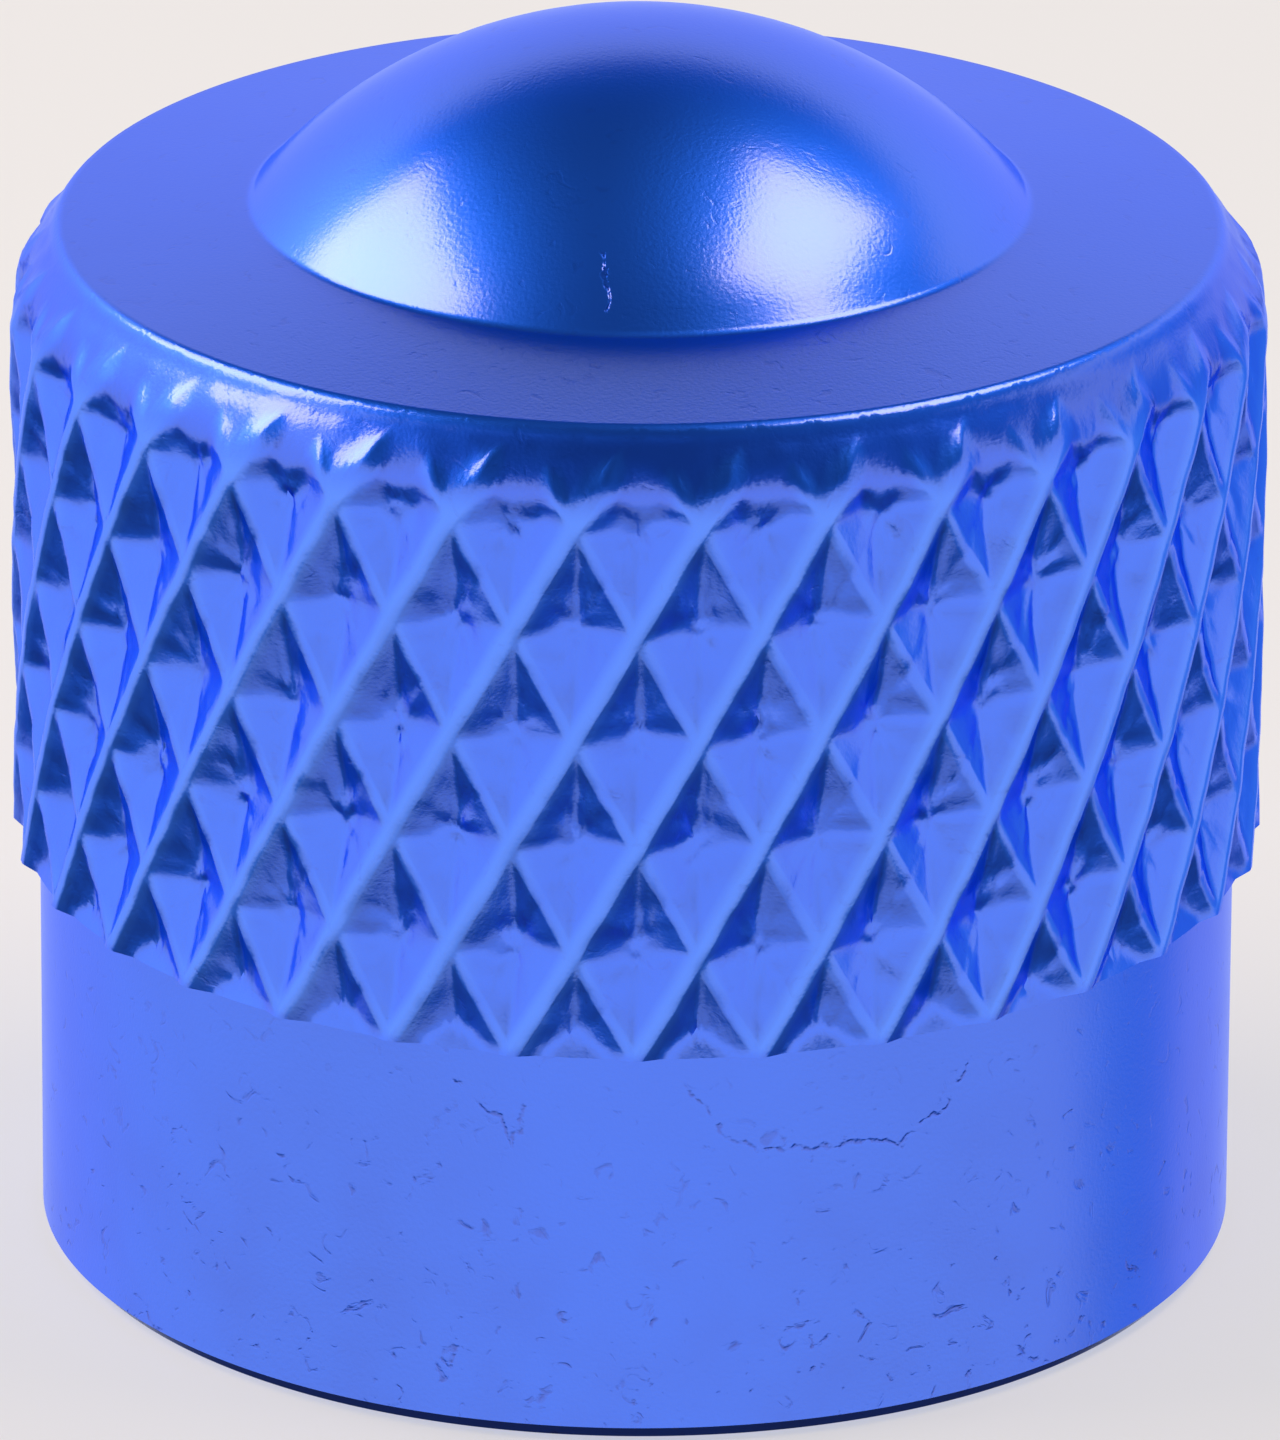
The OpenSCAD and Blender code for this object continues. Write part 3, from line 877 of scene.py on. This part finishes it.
def washer(rubber):
    """The sealing washer: a flat rubber ring with slightly rounded edges."""
    low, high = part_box("sealing_washer")
    outer, bottom, top = high[0] / MM, low[2] / MM, high[2] / MM
    edge = 0.12
    section = []
    for centre_r, centre_z, start in (
        (outer - edge, bottom + edge, -math.pi / 2),
        (outer - edge, top - edge, 0),
        (WASHER_HOLE_R + edge, top - edge, math.pi / 2),
        (WASHER_HOLE_R + edge, bottom + edge, math.pi),
    ):
        section += arc(centre_r, centre_z, edge, start, start + math.pi / 2, 4)
    mesh = bmesh.new()
    verts = [mesh.verts.new((r, 0, z)) for r, z in section]
    edges = [mesh.edges.new((a, b)) for a, b in zip(verts, verts[1:] + verts[:1])]
    bmesh.ops.spin(mesh, geom=verts + edges, axis=(0, 0, 1), angle=math.tau, steps=96)
    bmesh.ops.remove_doubles(mesh, verts=mesh.verts, dist=0.001)
    bmesh.ops.recalc_face_normals(mesh, faces=mesh.faces)
    return to_piece("washer_ring", mesh, "sealing_washer", rubber)


def floor():
    """A white floor under the cap."""
    mesh = bmesh.new()
    bmesh.ops.create_circle(mesh, cap_ends=True, radius=0.8, segments=96)
    data = bpy.data.meshes.new("floor")
    mesh.to_mesh(data)
    mesh.free()
    data.materials.append(pale_paper())
    piece = bpy.data.objects.new("floor", data)
    bpy.context.scene.collection.objects.link(piece)


def camera():
    """The photograph's camera."""
    look = Vector((0, math.cos(CAMERA_ELEVATION), -math.sin(CAMERA_ELEVATION)))
    right = Vector((1, 0, 0))
    up = right.cross(look)
    turned_right = math.cos(CAMERA_ROLL) * right + math.sin(CAMERA_ROLL) * up
    turned_up = -math.sin(CAMERA_ROLL) * right + math.cos(CAMERA_ROLL) * up
    data = bpy.data.cameras.new("camera")
    data.sensor_width = SENSOR_MM
    data.lens = FOCAL_PX * SENSOR_MM / PHOTO_HEIGHT_PX
    data.clip_start, data.clip_end = 0.01, 10
    eye = bpy.data.objects.new("camera", data)
    bpy.context.scene.collection.objects.link(eye)
    turn = Matrix((turned_right, turned_up, -look)).transposed().to_4x4()
    eye.matrix_world = Matrix.Translation((AIM - look * CAMERA_DISTANCE) * MM) @ turn
    bpy.context.scene.camera = eye


def softbox(name, azimuth, elevation, roll, width, height, radiance):
    """A soft lamp that faces the cap, placed by its direction from it. Azimuth 0 is the camera's side."""
    data = bpy.data.lights.new(name, "AREA")
    data.shape = "RECTANGLE"
    data.size, data.size_y = width, height
    data.color = paint("#FFE6D8")[:3]
    data.energy = radiance * math.pi * width * height
    lamp = bpy.data.objects.new(name, data)
    bpy.context.scene.collection.objects.link(lamp)
    a, e = math.radians(azimuth), math.radians(elevation)
    towards = Vector((math.sin(a) * math.cos(e), -math.cos(a) * math.cos(e), math.sin(e)))
    middle = Vector((0, 0, 0.006))
    lamp.location = middle + towards * LAMP_DISTANCE
    lamp.rotation_mode = "QUATERNION"
    turn = (-towards).to_track_quat("-Z", "Y")
    lamp.rotation_quaternion = turn @ Quaternion((0, 0, 1), math.radians(roll))


# Parts of the studio, by the direction from the cap. Each fades in from its first number to its second.
CEILING_EDGE = (0.48, 0.66)
CEILING_DROP_TOWARDS = (0.5, -1.0, 0.0)
CEILING_DROP = 0.2
LOW_EDGE = (-0.45, -0.6)
CORNER_EDGE = (-0.64, -0.5)
LOW_SHADE = 0.35
CORNER_SHADE = 0.62
GAP_TOWARDS = (0.92, 0.38, -0.05)
GAP_EDGE = (0.86, 0.97)
WALL_LEVEL, DARK_LEVEL = 1.15, 0.03


def studio():
    """A pale wall all round with a dark ceiling, dark low corners, and a soft lamp on each side."""
    world = bpy.data.worlds.new("studio")
    world.use_nodes = True
    tree = world.node_tree
    tree.nodes.clear()
    towards = add(tree, "ShaderNodeTexCoord", out="Generated")
    height = add(tree, "ShaderNodeSeparateXYZ", [towards], out="Z")
    back = height.node.outputs["Y"]
    ahead = add(
        tree, "ShaderNodeVectorMath", [towards, CEILING_DROP_TOWARDS], out="Value", operation="DOT_PRODUCT"
    )
    ahead = add(tree, "ShaderNodeMath", [ahead, 0.0], operation="MAXIMUM")
    ahead = add(tree, "ShaderNodeMath", [ahead, CEILING_DROP], operation="MULTIPLY")
    roof = add(tree, "ShaderNodeMath", [height, ahead], operation="ADD")
    ceiling = eased(tree, roof, *CEILING_EDGE)
    steep = eased(tree, height, *LOW_EDGE)
    side = eased(tree, back, *CORNER_EDGE)
    corner = add(tree, "ShaderNodeMath", [side, CORNER_SHADE], operation="MULTIPLY")
    corner = add(tree, "ShaderNodeMath", [corner, LOW_SHADE], operation="ADD")
    corner = add(tree, "ShaderNodeMath", [corner, steep], operation="MULTIPLY")
    shade = add(tree, "ShaderNodeMath", [ceiling, corner], operation="MAXIMUM")
    level = add(tree, "ShaderNodeMapRange", {"Value": shade, "To Min": WALL_LEVEL, "To Max": DARK_LEVEL})
    gap = add(tree, "ShaderNodeVectorMath", [towards, GAP_TOWARDS], out="Value", operation="DOT_PRODUCT")
    gap = eased(tree, gap, *GAP_EDGE)
    wall = add(
        tree,
        "ShaderNodeMix",
        {"Factor": gap, "A": paint("#F4FAFF"), "B": paint("#70A4D4")},
        out="Result",
        data_type="RGBA",
    )
    glow = add(tree, "ShaderNodeBackground", {"Color": wall, "Strength": level})
    add(tree, "ShaderNodeOutputWorld", {"Surface": glow})
    bpy.context.scene.world = world
    softbox("left softbox", -99, 43, 11, 0.102, 0.052, 6.0)
    softbox("right softbox", 97, 61, -12, 0.078, 0.048, 6.0)


camera()
floor()
studio()
cap(blue_anodised_aluminium())
washer(seal_rubber())
bpy.context.scene.view_settings.view_transform = "Standard"
